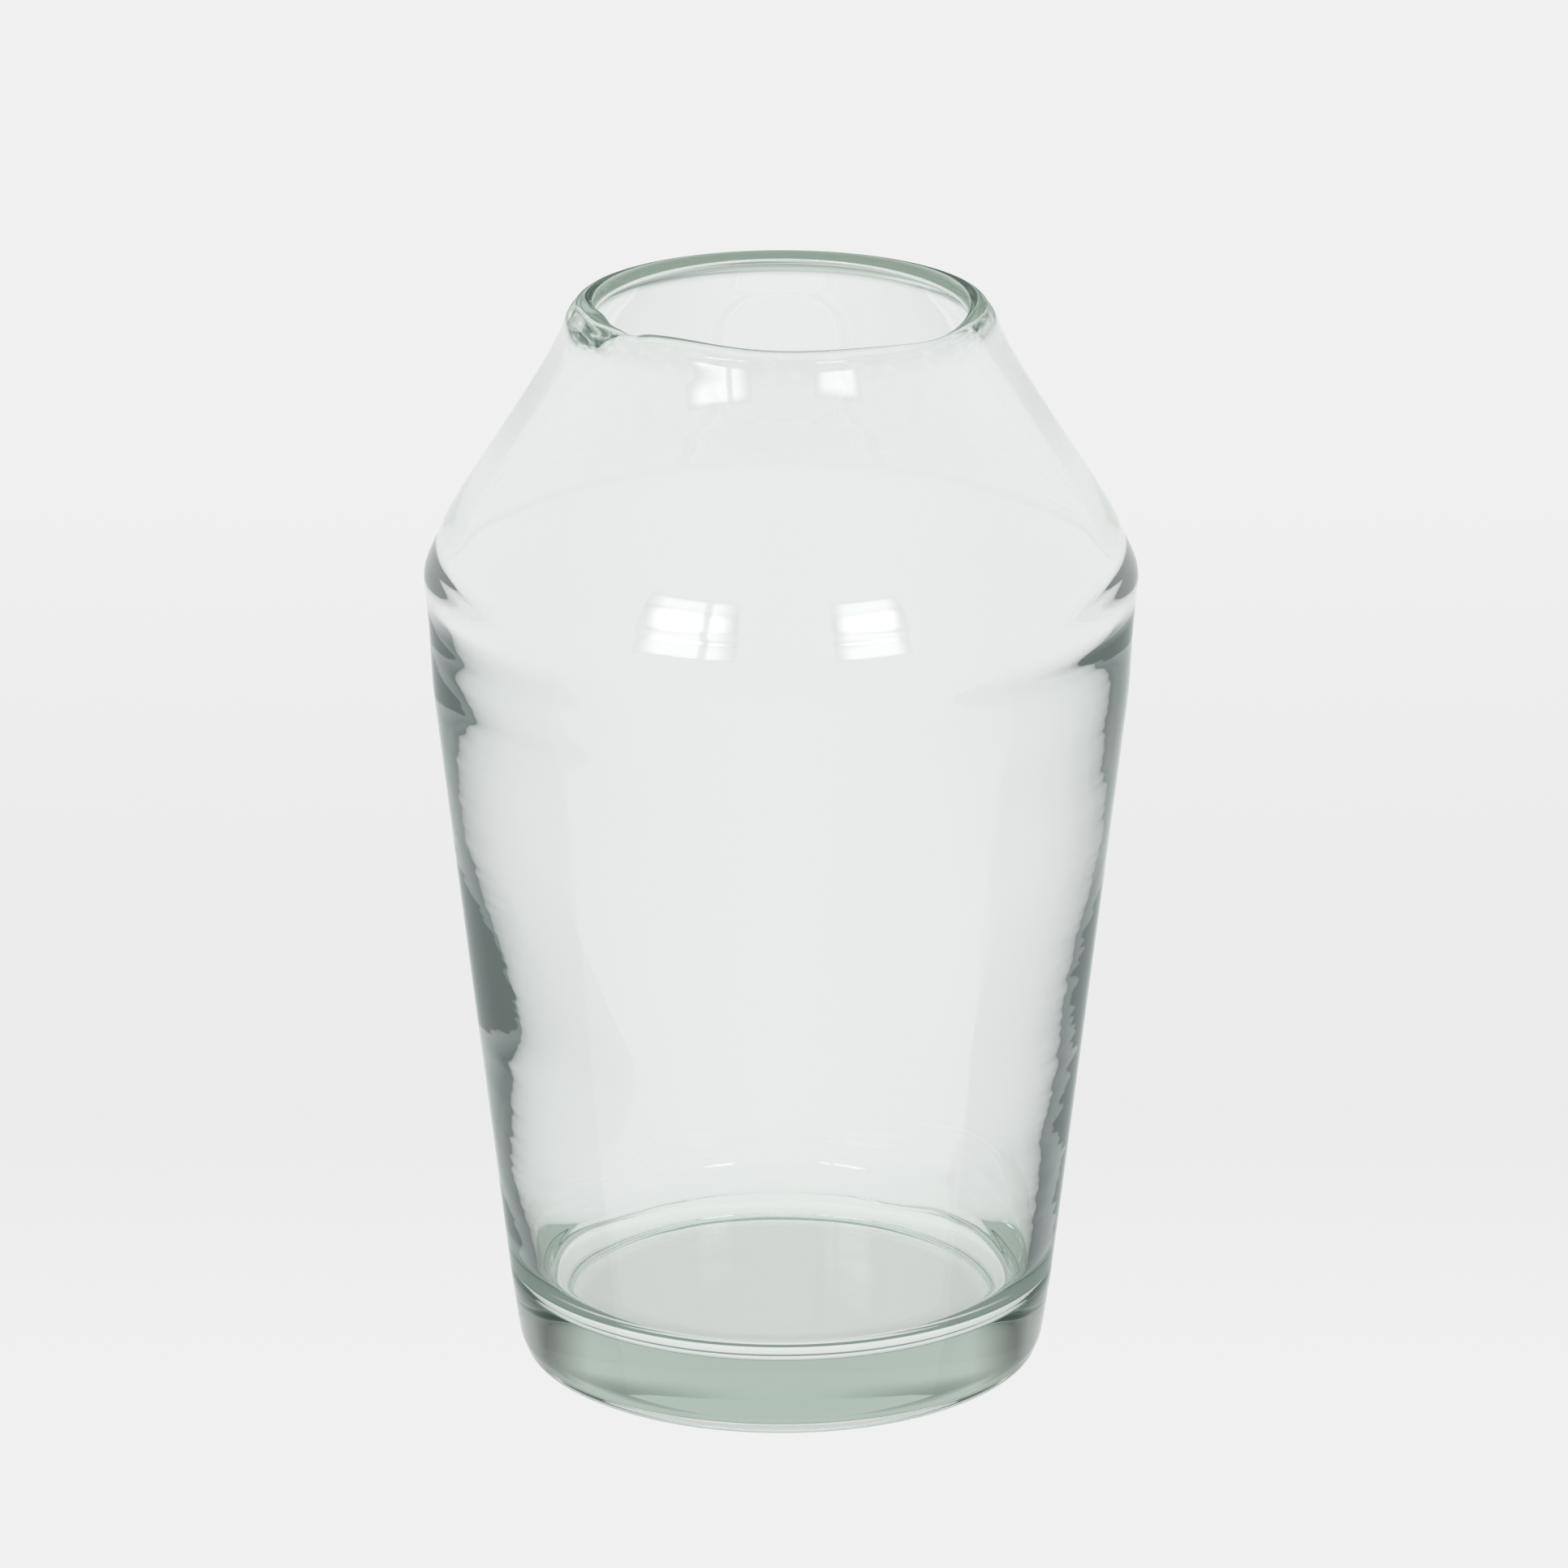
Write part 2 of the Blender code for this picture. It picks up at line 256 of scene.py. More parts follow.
# Painted shade on the table right under the glass: its brightness by metres from the axis, and where that
# gives way
PAINTED_SHADE_UNDER_GLASS = [(0.0, 0.68), (FOOT_RADIUS - 9.0 * MM, 0.68), (FOOT_RADIUS - 4.0 * MM, 0.95)]
UNDER_GLASS_SHARE = [(FOOT_RADIUS - 1.0 * MM, 1.0), (FOOT_RADIUS + 1.5 * MM, 0.0)]

# Brightness of the studio round the glass against degrees away from straight behind it
CARD_LIGHT = [(0.0, 0.87), (5.0, 0.86), (9.0, 0.80), (14.0, 0.66), (19.0, 0.53), (24.0, 0.44),
              (29.0, 0.36), (34.0, 0.29), (39.0, 0.21), (46.0, 0.17), (55.0, 0.20), (65.0, 0.26),
              (80.0, 0.35), (100.0, 0.5), (130.0, 0.7), (180.0, 0.8)]
CARD_TINT = 0.16
CARD_TINT_BLUE = 0.12
ACROSS_LIGHT = [(0.0, 0.88), (40.0, 0.9), (60.0, 0.82), (90.0, 0.76), (130.0, 0.9), (180.0, 0.95)]
BASE_LIGHT = [(0.0, 0.87), (38.0, 0.87), (47.0, 0.55), (57.0, 0.22), (70.0, 0.35), (110.0, 0.7),
              (180.0, 0.8)]
BACKDROP_LIGHT = [(0.0, 0.875), (40.0, 0.86), (70.0, 0.8), (100.0, 0.75), (140.0, 0.75), (180.0, 0.7)]
# Uneven light, dark to pale, met through the glass where the light left it at the mouth: painted shade that
# draws the rim's dark edge
MOUTH_LIGHT_LEVELS = [(0.36, (0.10, 0.14, 0.13, 1.0)), (0.46, (0.22, 0.29, 0.25, 1.0)),
                 (0.57, (0.42, 0.50, 0.43, 1.0)), (0.68, (0.80, 0.84, 0.82, 1.0))]
MOUTH_LIGHT_NOISE_SCALE = 8.0
# Share of each by the height at which the light left the glass
CARD_HEIGHTS = [(0.0, 1.0), (SEAM_Z - 1.0 * MM, 1.0), (SEAM_Z + 0.5 * MM, 0.0)]
BASE_HEIGHTS = [(11.0 * MM, 1.0), (14.0 * MM, 0.0)]
MOUTH_HEIGHTS = [(167.15 * MM, 0.0), (167.4 * MM, 1.0)]

WINDOW_DISTANCE = 1.6
WINDOW_STRENGTH = 4.5
WINDOW_COLOUR = (0.97, 0.99, 1.0, 1.0)
WINDOW_SOFT_SIDES = 0.5
WINDOW_SOFT_ENDS = 0.35
WINDOW_COLUMNS, WINDOW_ROWS = 41, 25
BAR_DARKNESS = 0.8
BAR_REACH = 1.5                 # half widths at which a bar's shade begins
# Each window: degrees away from the camera, half width, lowest and highest elevation, and its
# bars as (place across, half width) pairs
WINDOWS = {"window_left": (-32.5, 17.5, 28.0, 38.0, [(0.35, 0.08)]),
           "window_right": (31.0, 13.0, 28.5, 37.5, [])}

GLASS_BOUNCES = 24
GLOSSY_BOUNCES = 12


def smooth(t):
    t = np.clip(t, 0.0, 1.0)
    return t * t * (3.0 - 2.0 * t)


# --- outline -----------------------------------------------------------------------------

def arc(centre, radius, start, end):
    angles = np.radians(np.linspace(start, end, ARC_STEPS + 1))
    return [(centre[0] + radius * math.cos(a), centre[1] + radius * math.sin(a)) for a in angles]


def hermite(p0, p1, slope0, slope1):
    """A curve in height from p0 to p1 with the radius's slopes given at both ends; p0 is left out."""
    rise = p1[1] - p0[1]
    t = np.arange(1, HERMITE_STEPS + 1) / HERMITE_STEPS
    r = ((2 * t ** 3 - 3 * t ** 2 + 1) * p0[0] + (t ** 3 - 2 * t ** 2 + t) * rise * slope0
         + (-2 * t ** 3 + 3 * t ** 2) * p1[0] + (t ** 3 - t ** 2) * rise * slope1)
    return list(zip(r, p0[1] + rise * t))


def body_radius(z):
    if z < BASE_TOP_Z:
        return FOOT_RADIUS + (BASE_TOP_RADIUS - FOOT_RADIUS) * z / BASE_TOP_Z
    taper = (SEAM_RADIUS + BODY_TURN_IN - BASE_TOP_RADIUS) / (SEAM_Z - BASE_TOP_Z)
    straight = BASE_TOP_RADIUS + taper * (z - BASE_TOP_Z)
    return straight - BODY_TURN_IN * float(smooth((z - SEAM_Z + BODY_TURN) / BODY_TURN))


def inner_radius(z):
    """Inner radius of the body: an even wall that thickens into a heel above the floor."""
    rise = min(max((HEEL_TOP_Z - z) / (HEEL_TOP_Z - FLOOR_Z), 0.0), 1.0)
    return body_radius(z) - WALL - HEEL_WIDTH * rise ** HEEL_POWER


def cone_outline():
    """The cone from its foot to the rim, built up from its lean at each height."""
    z = np.arange(CONE_FOOT_Z, CONE_TOP_Z, FINE_STEP)
    heights, leans = zip(*CONE_LEAN)
    lean = np.interp(z, np.array(heights) * MM, np.radians(leans))
    r = CONE_FOOT_RADIUS - np.concatenate([[0.0], np.cumsum(np.tan(lean[:-1]) * np.diff(z))])
    return np.column_stack([r, z])


def outer_outline():
    """From the middle of the underside, round the foot and up to the top of the rim."""
    ring_outer = FOOT_RADIUS - FOOT_CORNER
    recess = ring_outer - REST_RING_WIDTH - RECESS_SLOPE
    points = [(0.0, RECESS_DEPTH)]
    points += [(recess + RECESS_SLOPE * t, RECESS_DEPTH * (1.0 - float(smooth(t))))
               for t in np.linspace(0.0, 1.0, RECESS_STEPS)]
    points += arc((ring_outer, FOOT_CORNER), FOOT_CORNER, -90.0, FOOT_CORNER_END)
    body = np.linspace(FOOT_CORNER + FOOT_BLEND, SEAM_Z - SEAM_HALF_WIDTH, BODY_STEPS)
    points += [(body_radius(z), z) for z in body]
    above_seam = (SEAM_RADIUS + SEAM_STEP_OUT, SEAM_Z + SEAM_HALF_WIDTH)
    widest = (SHOULDER_RADIUS, SHOULDER_Z)
    cone_foot = (CONE_FOOT_RADIUS, CONE_FOOT_Z)
    points += [above_seam] + hermite(above_seam, widest, SEAM_LEAN, 0.0)
    points += hermite(widest, cone_foot, 0.0, CONE_SLOPE)
    points += [tuple(p) for p in cone_outline()[round(CONE_BLEND / FINE_STEP):]]
    points += arc((RIM_RADIUS, HEIGHT - RIM_HALF_THICKNESS), RIM_HALF_THICKNESS, RIM_START, RIM_TOP)
    return points


def inner_outline():
    """From the top of the rim down the inside to the middle of the floor."""
    points = arc((RIM_RADIUS, HEIGHT - RIM_HALF_THICKNESS), RIM_HALF_THICKNESS, RIM_TOP_INSIDE, RIM_END)
    inner_cone = [(r - CONE_WALL, z) for r, z in cone_outline() if z < INNER_CONE_TOP_Z]
    points += inner_cone[::-INNER_CONE_STRIDE]
    foot = (CONE_FOOT_RADIUS - CONE_WALL + INNER_FOOT_OUT, CONE_FOOT_Z - INNER_FOOT_DROP)
    shoulder = (SHOULDER_RADIUS - WALL, SHOULDER_Z - SHOULDER_DROP)
    under_z = SEAM_Z - INNER_SHOULDER_END
    under = (body_radius(under_z) - WALL, under_z)
    points += [foot]
    points += hermite(foot, shoulder, CONE_SLOPE, 0.0)
    points += hermite(shoulder, under, 0.0, INNER_LEAN)
    corner_z = FLOOR_Z + FLOOR_CORNER_HEIGHT
    corner = inner_radius(corner_z)
    points += [(inner_radius(z), z) for z in np.linspace(under_z - MM, corner_z, INNER_BODY_STEPS)]
    start = math.sin(FLOOR_CORNER_START)
    for a in np.linspace(FLOOR_CORNER_START, math.pi / 2, FLOOR_STEPS):
        points.append((corner - FLOOR_CORNER_WIDTH * (1.0 - math.cos(a)),
                       corner_z - FLOOR_CORNER_HEIGHT * (math.sin(a) - start) / (1.0 - start)))
    edge = points[-1][0]
    points += [(edge * t, FLOOR_Z) for t in np.linspace(FLOOR_START, 0.0, FLOOR_STEPS)]
    return points


def dense(points):
    """The outline resampled in equal fine steps along its length."""
    p = np.array(points)
    along = np.concatenate([[0.0], np.cumsum(np.hypot(*np.diff(p, axis=0).T))])
    s = np.arange(0.0, along[-1], FINE_STEP)
    return np.column_stack([np.interp(s, along, p[:, 0]), np.interp(s, along, p[:, 1])])


def polished(p):
    """Rounds the outline as heat does, by a running Gaussian mean; it stays on the axis at both ends."""
    sigma = POLISH / FINE_STEP
    half = int(POLISH_REACH * sigma)
    kernel = np.exp(-0.5 * (np.arange(-half, half + 1) / sigma) ** 2)
    kernel /= kernel.sum()
    mirror = np.array([-1.0, 1.0])
    padded = np.vstack([p[half:0:-1] * mirror, p, p[-2:-half - 2:-1] * mirror])
    out = np.column_stack([np.convolve(padded[:, i], kernel, mode="valid") for i in (0, 1)])
    out[0, 0] = out[-1, 0] = 0.0
    return out


def ring_spacing(z, inside):
    """Wanted distance between rings at a height."""
    if not inside and abs(z - RECESS_DEPTH) < FLAT:
        return RECESS_SPACING
    for top, spacing in (INSIDE_SPACING if inside else OUTSIDE_SPACING):
        if z < top:
            return spacing
    return RIM_SPACING_INSIDE if inside else RIM_SPACING_OUTSIDE


def outline():
    """Rings from the underside's middle to the floor's middle: (r, z, inside) each."""
    whole = polished(np.vstack([dense(outer_outline()), dense(inner_outline())]))
    top = int(np.argmax(whole[:, 1]))
    last = len(whole) - 1
    rings, travelled = [], 0.0
    for i, (r, z) in enumerate(whole):
        inside = i > top
        if i in (0, last) or travelled >= ring_spacing(z, inside):
            rings.append((r, z, 1.0 if inside else 0.0))
            travelled = 0.0
        travelled += FINE_STEP
    return np.array(rings)


# --- unevenness --------------------------------------------------------------------------

def angle_from(azimuth, target):
    return np.arctan2(np.sin(azimuth - target), np.cos(azimuth - target))


def bump(azimuth, target, half_angle):
    return np.exp(-(angle_from(azimuth, target) / half_angle) ** 2)


def waves(azimuth, z, depth, turns, height, seed):
    """Soft noise on the wall: turns is its frequency round the glass, height its size up it."""
    points = np.column_stack([np.cos(azimuth) * turns + seed, np.sin(azimuth) * turns, z / height])
    return depth * np.array([noise.noise(Vector(p)) for p in points])


def side_wall(z, apparent):
    """True thickness of the wall at heights z, from how thick it appears, worked down from the seam."""
    heights, seen = zip(*apparent)
    steps = np.arange(SEAM_Z, 0.0, -FINE_STEP)
    seen = np.interp(steps - SEEN_LOWER, np.array(heights) * MM, np.array(seen) * MM)
    wall = np.empty_like(steps)
    wall[0] = WALL
    for i in range(1, len(steps)):
        wall[i] = wall[i - 1] - (wall[i - 1] - seen[i]) * FINE_STEP / LEAD
    return np.interp(z, steps[::-1], wall[::-1])


def wall_relief(azimuth, z):
    """How far the inner wall stands outward of its even outline, in metres."""
    fade = smooth((z - RELIEF_START_Z) / RELIEF_RISE) * smooth((RELIEF_END_Z - z) / RELIEF_FALL)
    leftward = np.cos(azimuth - LEFT_AZIMUTH)
    begins = SIDE_BEGINS + LOW_SIDE_BEGINS * smooth((LOW_SIDE_Z - z) / LOW_SIDE_BLEND)
    body = (smooth((leftward - begins) / SIDE_BLEND) * (WALL - side_wall(z, LEFT_WALL))
            + smooth((-leftward - begins) / SIDE_BLEND) * (WALL - side_wall(z, RIGHT_WALL)))
    body *= smooth((SIDES_END_Z - z) / SIDES_FALL)
    marks = waves(azimuth, z, *TURNING_MARKS) + waves(azimuth, z, *FINE_MARKS)
    marks *= MARKS_ABOVE_SEAM + (1.0 - MARKS_ABOVE_SEAM) * smooth((SEAM_Z - z) / MARKS_FALL)
    at_side = smooth((np.abs(leftward) - MARKS_BEGIN) / MARKS_BLEND)
    marks *= FAINT_MARKS + (1.0 - FAINT_MARKS) * at_side
    return fade * (body + marks)


def skin_relief(azimuth, z):
    """How far the outer wall stands outward of its even outline."""
    return smooth((z - SKIN_START_Z) / SKIN_RISE) * (waves(azimuth, z, *SKIN_WAVES) - SKIN_IN)


def shape_rim(x, y, z, azimuth, inside):
    """The pressed lip, and the rim's swell, notch, crest and sag."""
    near = smooth((z - (HEIGHT - LIP_REACH)) / LIP_REACH)
    lip = bump(azimuth, LIP_AZIMUTH, LIP_HALF_ANGLE) * near
    swell = bump(azimuth, SWELL_AZIMUTH, SWELL_HALF_ANGLE)
    out = LIP_OUT * lip * near - inside * LIP_SWELL * swell * near ** 3
    x = x + out * np.cos(azimuth)
    y = y + out * np.sin(azimuth)
    crest = bump(azimuth, CREST_AZIMUTH, RIM_WAVE_HALF_ANGLE)
    sag = bump(azimuth, SAG_AZIMUTH, RIM_WAVE_HALF_ANGLE)
    notch = bump(azimuth, NOTCH_AZIMUTH, NOTCH_HALF_ANGLE)
    z = z + near * (CREST_RISE * crest - SAG_DROP * sag + SWELL_RISE * swell - NOTCH_DROP * notch)
    return x, y, z


# --- the vessel --------------------------------------------------------------------------

def add_object(name, points, faces):
    mesh = bpy.data.meshes.new(name)
    mesh.from_pydata(points, [], faces)
    made = bpy.data.objects.new(name, mesh)
    bpy.context.scene.collection.objects.link(made)
    return made


def vessel():
    """The rings joined by quads, closed by a fan at the underside's and at the floor's middle."""
    rings = outline()
    body = rings[1:-1]
    count = len(body)
    azimuth = np.tile(np.arange(SEGMENTS) * math.tau / SEGMENTS, count)
    r = np.repeat(body[:, 0], SEGMENTS)
    z = np.repeat(body[:, 1], SEGMENTS)
    inside = np.repeat(body[:, 2], SEGMENTS)
    relief = np.where(inside > 0.5, wall_relief(azimuth, z), skin_relief(azimuth, z))
    r = r + smooth(r / AXIS_CALM) * relief
    x, y, z = shape_rim(r * np.cos(azimuth), r * np.sin(azimuth), z, azimuth, inside)
    points = np.vstack([[0.0, 0.0, rings[0, 1]], np.column_stack([x, y, z]), [0.0, 0.0, rings[-1, 1]]])
    last = len(points) - 1
    faces = []
    for i in range(SEGMENTS):
        j = (i + 1) % SEGMENTS
        faces.append((0, 1 + j, 1 + i))
        for ring in range(count - 1):
            a = 1 + ring * SEGMENTS
            faces.append((a + i, a + j, a + SEGMENTS + j, a + SEGMENTS + i))
        a = 1 + (count - 1) * SEGMENTS
        faces.append((a + i, a + j, last))
    made = add_object("blown_glass_vessel", points.tolist(), faces)
    made.data.shade_smooth()
    return made


# --- shader nodes ------------------------------------------------------------------------

def node(tree, kind, **inputs):
    made = tree.nodes.new(kind)
    for name, value in inputs.items():
        made.inputs[name.replace("_", " ")].default_value = value
    return made


def maths(tree, operation, *values):
    made = tree.nodes.new("ShaderNodeMath")
    made.operation = operation
    for socket, value in zip(made.inputs, values):
        if isinstance(value, (int, float)):
            socket.default_value = value
        else:
            tree.links.new(value, socket)
    return made.outputs[0]


def vector_maths(tree, operation, vector, other=None):
    made = tree.nodes.new("ShaderNodeVectorMath")
    made.operation = operation
    tree.links.new(vector, made.inputs[0])
    if other is not None:
        made.inputs[1].default_value = other
    return made.outputs["Value"]


def split(tree, vector):
    made = tree.nodes.new("ShaderNodeSeparateXYZ")
    tree.links.new(vector, made.inputs[0])
    return made.outputs


def mix(tree, factor, a, b):
    made = tree.nodes.new("ShaderNodeMix")
    made.data_type = "RGBA"
    tree.links.new(factor, made.inputs["Factor"])
    for socket, source in ((made.inputs[6], a), (made.inputs[7], b)):
        if isinstance(source, tuple):
            socket.default_value = source
        else:
            tree.links.new(source, socket)
    return made.outputs[2]


def ramp(tree, value, stops, tint=0.0):
    """A value turned into colour by stops; tint makes the darker grey stops bluish green."""
    made = tree.nodes.new("ShaderNodeValToRGB")
    elements = made.color_ramp.elements
    while len(elements) > 1:
        elements.remove(elements[-1])
    for i, (position, level) in enumerate(stops):
        element = elements[0] if i == 0 else elements.new(position)
        element.position = position
        if isinstance(level, tuple):
            element.color = level
        else:
            cool = tint * (1.0 - level)
            element.color = (level * (1.0 - cool), level, level * (1.0 - CARD_TINT_BLUE * cool), 1.0)
    tree.links.new(value, made.inputs["Fac"])
    return made.outputs["Color"]


def height_ramp(tree, height, stops):
    scaled = maths(tree, "MULTIPLY", height, RAMP_SCALE)
    return ramp(tree, scaled, [(RAMP_SCALE * h, level) for h, level in stops])


def turn_ramp(tree, share, stops, tint=0.0):
    """stops are in degrees; share is of a half turn."""
    return ramp(tree, share, [(degrees / 180.0, level) for degrees, level in stops], tint)


# --- glass -------------------------------------------------------------------------------

def glass_material():
    """Clear glass, faintly green in depth, with a painted glow of even tone where light would stay trapped
    in it.
    """
    material = bpy.data.materials.new("clear_blown_glass")
    material.use_nodes = True
    material.cycles.emission_sampling = "NONE"
    tree = material.node_tree
    shader = tree.nodes["Principled BSDF"]
    shader.inputs["Base Color"].default_value = GLASS_COLOUR
    shader.inputs["Roughness"].default_value = 0.0
    shader.inputs["IOR"].default_value = GLASS_IOR
    shader.inputs["Transmission Weight"].default_value = 1.0
    shader.inputs["Emission Color"].default_value = BLACK
    shader.inputs["Emission Strength"].default_value = 1.0

    path = tree.nodes.new("ShaderNodeLightPath")
    geometry = tree.nodes.new("ShaderNodeNewGeometry")
    in_front = maths(tree, "LESS_THAN", path.outputs["Transmission Depth"], FRONT_DEPTH)
    fewer = maths(tree, "MULTIPLY", in_front, MOST_TURNS - MOST_FRONT_TURNS)
    most = maths(tree, "SUBTRACT", MOST_TURNS, fewer)
    deep = maths(tree, "GREATER_THAN", path.outputs["Ray Depth"], maths(tree, "SUBTRACT", most, 0.5))
    tree.links.new(mix(tree, deep, GLASS_COLOUR, BLACK), shader.inputs["Base Color"])

    # Painted glow: on the ray that has turned back the most times, the glass emits an even tone
    once = maths(tree, "COMPARE", path.outputs["Ray Depth"], most)
    once.node.inputs[2].default_value = 0.5
    height = split(tree, geometry.outputs["Position"])["Z"]
    tone = mix(tree, in_front, PAINTED_GLOW_BEHIND, height_ramp(tree, height, PAINTED_GLOW_BY_HEIGHT))
    tree.links.new(mix(tree, once, BLACK, tone), shader.inputs["Emission Color"])

    tint = node(tree, "ShaderNodeVolumeAbsorption", Color=TINT_COLOUR, Density=TINT_DENSITY)
    tree.links.new(tint.outputs[0], tree.nodes["Material Output"].inputs["Volume"])
    return material


# --- studio ------------------------------------------------------------------------------

def direction(azimuth, elevation):
    return Vector((math.sin(azimuth) * math.cos(elevation), -math.cos(azimuth) * math.cos(elevation),
                   math.sin(elevation)))


def studio_light(tree):
    """The colour of a studio surface as it is met in or through the glass.

    No cards are modelled. The colour is set by direction in the camera's own frame, so it turns
    with the camera, and by the height at which the light left the glass. Below the seam it darkens
    to the sides, as dark cards would make it, and at the mouth it is uneven; both draw the edges of
    the glass. Light that has crossed the hollow meets neither and stays bright."""
    geometry = tree.nodes.new("ShaderNodeNewGeometry")
    path = tree.nodes.new("ShaderNodeLightPath")
    back = geometry.outputs["Incoming"]
    to_camera = tree.nodes.new("ShaderNodeVectorTransform")
    to_camera.vector_type = "VECTOR"
    to_camera.convert_from, to_camera.convert_to = "WORLD", "CAMERA"
    tree.links.new(back, to_camera.inputs[0])
    seen = split(tree, to_camera.outputs[0])
    rise = split(tree, back)["Z"]
    place = split(tree, geometry.outputs["Position"])["Z"]
    left_at = maths(tree, "ADD", place, maths(tree, "MULTIPLY", path.outputs["Ray Length"], rise))
    level = maths(tree, "SQRT", maths(tree, "SUBTRACT", 1.0, maths(tree, "MULTIPLY", rise, rise)))
    aside = maths(tree, "ABSOLUTE", seen["X"])
    ahead = maths(tree, "LESS_THAN", seen["Z"], 0.0)

    def turned(sideways):
        """Degrees from straight behind the glass as a share of a half turn."""
        part = maths(tree, "DIVIDE", maths(tree, "ARCSINE", maths(tree, "MINIMUM", sideways, 1.0)), math.pi)
        chosen = tree.nodes.new("ShaderNodeMix")
        tree.links.new(ahead, chosen.inputs[0])
        tree.links.new(maths(tree, "SUBTRACT", 1.0, part), chosen.inputs[2])
        tree.links.new(part, chosen.inputs[3])
        return chosen.outputs[0]

    azimuth = turned(maths(tree, "DIVIDE", aside, level))
    spread = turned(maths(tree, "DIVIDE", aside, math.cos(VIEW_ELEVATION)))
    # Painted shade: noise that makes the light met at the mouth uneven
    mouth_light_noise = node(tree, "ShaderNodeTexNoise", Scale=MOUTH_LIGHT_NOISE_SCALE, Detail=1.0)
    tree.links.new(to_camera.outputs[0], mouth_light_noise.inputs["Vector"])

    plain = mix(tree, height_ramp(tree, left_at, CARD_HEIGHTS), turn_ramp(tree, azimuth, BACKDROP_LIGHT),
                turn_ramp(tree, spread, CARD_LIGHT, CARD_TINT))
    plain = mix(tree, height_ramp(tree, left_at, BASE_HEIGHTS), plain, turn_ramp(tree, azimuth, BASE_LIGHT))
    plain = mix(tree, height_ramp(tree, left_at, MOUTH_HEIGHTS), plain,
                ramp(tree, mouth_light_noise.outputs["Fac"], MOUTH_LIGHT_LEVELS))
    crossed = maths(tree, "GREATER_THAN", path.outputs["Transmission Depth"], CROSSED_DEPTH)
    return mix(tree, crossed, plain, turn_ramp(tree, azimuth, ACROSS_LIGHT))


def emission_material(name):
    """A plain glowing material that isn't sampled as a lamp; returns it, its tree and the glow."""
    material = bpy.data.materials.new(name)
    material.use_nodes = True
    material.cycles.emission_sampling = "NONE"
    tree = material.node_tree
    tree.nodes.clear()
    glow = node(tree, "ShaderNodeEmission", Strength=1.0)
    output = tree.nodes.new("ShaderNodeOutputMaterial")
    tree.links.new(glow.outputs[0], output.inputs["Surface"])
    return material, tree, glow


def show_in_glass_only(made):
    """Makes a studio piece that is met only in or through the glass."""
    made.visible_camera = False
    made.visible_diffuse = False
    made.visible_shadow = False


def make_world():
    """The pale backdrop the camera sees and the soft light that falls on the table."""
    world = bpy.data.worlds.new("studio")
    bpy.context.scene.world = world
    world.use_nodes = True
    world.cycles.sampling_method = "NONE"
    tree = world.node_tree
    tree.nodes.clear()
    path = tree.nodes.new("ShaderNodeLightPath")
    on_table = maths(tree, "GREATER_THAN", path.outputs["Diffuse Depth"], 0.5)
    background = tree.nodes.new("ShaderNodeBackground")
    tree.links.new(mix(tree, on_table, BACKDROP, SOFT_LIGHT), background.inputs["Color"])
    output = tree.nodes.new("ShaderNodeOutputWorld")
    tree.links.new(background.outputs[0], output.inputs["Surface"])


def make_dome():
    """The studio above the table."""
    points = [tuple(direction(math.tau * i / DOME_COLUMNS, elevation) * DOME_RADIUS)
              for elevation in DOME_ELEVATIONS for i in range(DOME_COLUMNS)]
    points.append((0.0, 0.0, DOME_RADIUS))
    top = len(points) - 1
    faces = []
    for row in range(len(DOME_ELEVATIONS)):
        for i in range(DOME_COLUMNS):
            a = DOME_COLUMNS * row + i
            b = DOME_COLUMNS * row + (i + 1) % DOME_COLUMNS
            if row == len(DOME_ELEVATIONS) - 1:
                faces.append((a, b, top))
            else:
                faces.append((a, b, b + DOME_COLUMNS, a + DOME_COLUMNS))
    dome = add_object("studio_walls", points, faces)
    material, tree, glow = emission_material("studio_walls")
    tree.links.new(studio_light(tree), glow.inputs["Color"])
    dome.data.materials.append(material)
    show_in_glass_only(dome)


def sweep_material():
    """Pale paper, with painted shade behind the glass, to the camera and to soft light; in or through the
    glass, the studio's own light, with painted shade under the glass.
    """
    material = bpy.data.materials.new("pale_sweep")
    material.use_nodes = True
    tree = material.node_tree
    shader = tree.nodes["Principled BSDF"]
    shader.inputs["Roughness"].default_value = SWEEP_ROUGHNESS
    shader.inputs["Specular IOR Level"].default_value = 0.0
    position = tree.nodes.new("ShaderNodeNewGeometry").outputs["Position"]
    depth = vector_maths(tree, "DOT_PRODUCT", position, -direction(VIEW_AZIMUTH, 0.0))
    place = maths(tree, "ADD", depth, PAPER_MIDDLE)
    # Paper colour with painted shade: darker just behind the glass
    paper = ramp(tree, place, [(PAPER_MIDDLE + behind, level) for behind, level in PAPER_AND_PAINTED_SHADE])
    tree.links.new(paper, shader.inputs["Base Color"])

    radius = vector_maths(tree, "LENGTH", position)
    glow = tree.nodes.new("ShaderNodeEmission")
    # In or through the glass: the studio's light, with painted shade on the table under the glass's foot
    colour = mix(tree, ramp(tree, radius, UNDER_GLASS_SHARE), studio_light(tree),
                 ramp(tree, radius, PAINTED_SHADE_UNDER_GLASS))
    tree.links.new(colour, glow.inputs["Color"])

    path = tree.nodes.new("ShaderNodeLightPath")
    plain = maths(tree, "MAXIMUM", path.outputs["Is Camera Ray"], path.outputs["Diffuse Depth"])
    plain.node.use_clamp = True
    choose = tree.nodes.new("ShaderNodeMixShader")
    tree.links.new(plain, choose.inputs[0])
    tree.links.new(glow.outputs[0], choose.inputs[1])
    tree.links.new(shader.outputs[0], choose.inputs[2])
    tree.links.new(choose.outputs[0], tree.nodes["Material Output"].inputs["Surface"])
    return material


def make_sweep():
    corners = [(-1, -1), (1, -1), (1, 1), (-1, 1)]
    points = [(x * SWEEP_HALF_SIZE, y * SWEEP_HALF_SIZE, -SWEEP_DROP) for x, y in corners]
    sweep = add_object("sweep", points, [(0, 1, 2, 3)])
    sweep.data.materials.append(sweep_material())


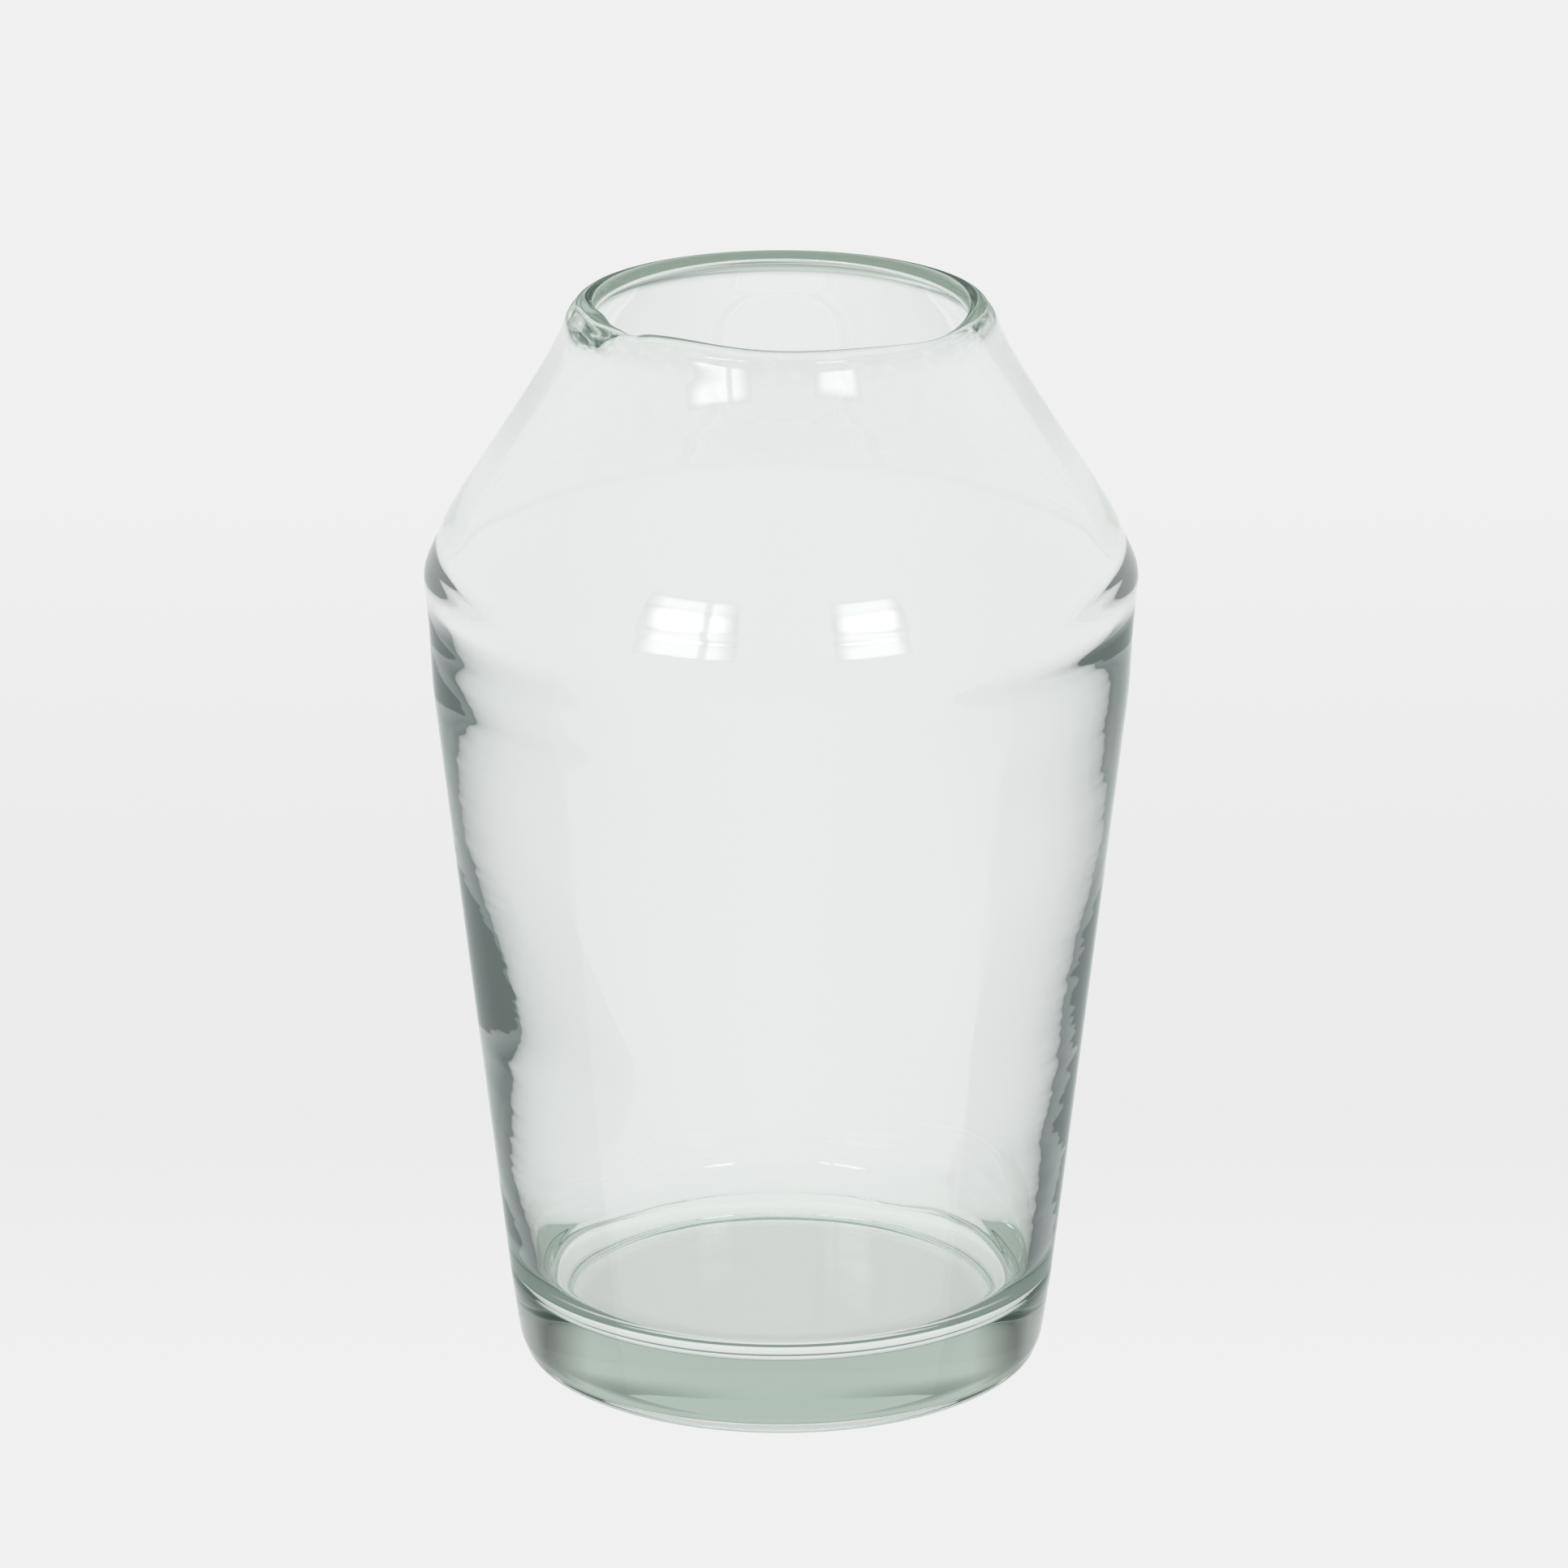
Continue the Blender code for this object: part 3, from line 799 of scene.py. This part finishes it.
def make_window(name, turn, half_width, low, high, bars):
    """A soft window beyond the camera."""
    points, faces, softness = [], [], []
    for v in np.linspace(0.0, 1.0, WINDOW_ROWS):
        for u in np.linspace(-1.0, 1.0, WINDOW_COLUMNS):
            azimuth = VIEW_AZIMUTH + math.radians(turn) + math.radians(u * half_width)
            elevation = math.radians(low + (high - low) * v)
            points.append(tuple(direction(azimuth, elevation) * WINDOW_DISTANCE))
            soft = (smooth((1.0 - abs(u)) / WINDOW_SOFT_SIDES)
                    * smooth((0.5 - abs(v - 0.5)) / WINDOW_SOFT_ENDS))
            for across, width in bars:
                soft *= 1.0 - BAR_DARKNESS * smooth(BAR_REACH - abs(u - across) / width)
            softness.append(float(soft))
    for row in range(WINDOW_ROWS - 1):
        for column in range(WINDOW_COLUMNS - 1):
            a = row * WINDOW_COLUMNS + column
            faces.append((a, a + 1, a + 1 + WINDOW_COLUMNS, a + WINDOW_COLUMNS))
    window = add_object(name, points, faces)
    window.data.attributes.new("soft", "FLOAT", "POINT").data.foreach_set("value", softness)
    material, tree, glow = emission_material(name)
    glow.inputs["Color"].default_value = WINDOW_COLOUR
    soft_edge = tree.nodes.new("ShaderNodeAttribute")
    soft_edge.attribute_name = "soft"
    strength = maths(tree, "MULTIPLY", soft_edge.outputs["Fac"], WINDOW_STRENGTH)
    tree.links.new(strength, glow.inputs["Strength"])
    window.data.materials.append(material)
    show_in_glass_only(window)


def make_camera():
    back = direction(VIEW_AZIMUTH, VIEW_ELEVATION)
    right = Vector((math.cos(VIEW_AZIMUTH), math.sin(VIEW_AZIMUTH), 0.0))
    data = bpy.data.cameras.new("camera")
    data.sensor_width = SENSOR
    data.lens = LENS
    data.clip_start, data.clip_end = CLIP_NEAR, CLIP_FAR
    camera = bpy.data.objects.new("camera", data)
    bpy.context.scene.collection.objects.link(camera)
    camera.location = VIEW_CENTRE + back * VIEW_DISTANCE
    aim = VIEW_CENTRE + Vector((0.0, 0.0, AIM_RISE)) + right * AIM_RIGHT
    camera.rotation_euler = (aim - camera.location).to_track_quat("-Z", "Y").to_euler()
    bpy.context.scene.camera = camera


def set_look():
    scene = bpy.context.scene
    scene.view_settings.view_transform = "Standard"
    scene.cycles.max_bounces = GLASS_BOUNCES
    scene.cycles.transmission_bounces = GLASS_BOUNCES
    scene.cycles.glossy_bounces = GLOSSY_BOUNCES
    scene.cycles.caustics_reflective = True
    scene.cycles.caustics_refractive = True
    scene.cycles.blur_glossy = 0.0
    scene.cycles.sample_clamp_indirect = 0.0
    scene.cycles.use_denoising = True


glass = vessel()
glass.data.materials.append(glass_material())
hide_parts("glass_body")
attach(glass, "root")
glass.visible_diffuse = False

make_sweep()
make_dome()
make_world()
for window_name, window_place in WINDOWS.items():
    make_window(window_name, *window_place)
make_camera()
set_look()
